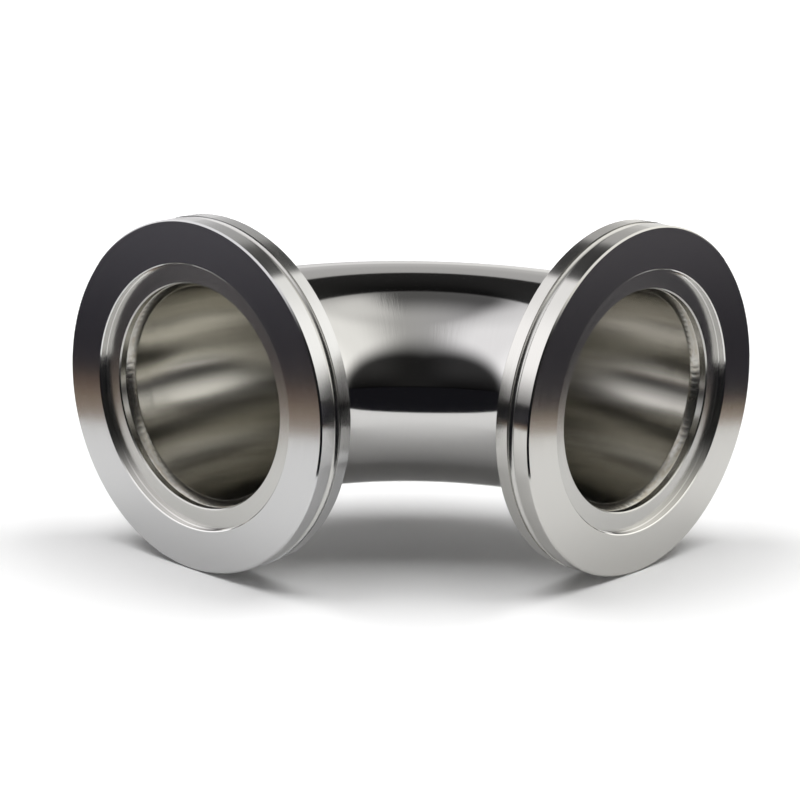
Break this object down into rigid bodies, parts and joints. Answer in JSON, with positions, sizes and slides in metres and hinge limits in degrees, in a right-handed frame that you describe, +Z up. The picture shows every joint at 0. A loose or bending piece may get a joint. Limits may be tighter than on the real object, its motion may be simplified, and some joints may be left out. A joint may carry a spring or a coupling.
{
  "type": "vacuum elbow",
  "caption": "Stainless 90 degree vacuum elbow: a bent tube with a turned clamp flange on each end, each with a recess for a centring ring and a groove round its rim.",
  "frame": {"origin": "middle of the front flange's sealing face, on the axis of its bore", "axes": "-Y out of the front flange, +X out of the side flange, the plane of the bend level, +Z up"},
  "size_m": [0.153, 0.153, 0.11],
  "materials": {
    "turned_steel": "fine turned",
    "polished_tube": "buffed",
    "weld_metal": "as welded, cleaned"
  },
  "bodies": {
    "root": {"front_flange": "turned_steel", "side_flange": "turned_steel", "bent_tube": "polished_tube", "front_weld_bead": "weld_metal", "side_weld_bead": "weld_metal"}
  },
  "joints": []
}
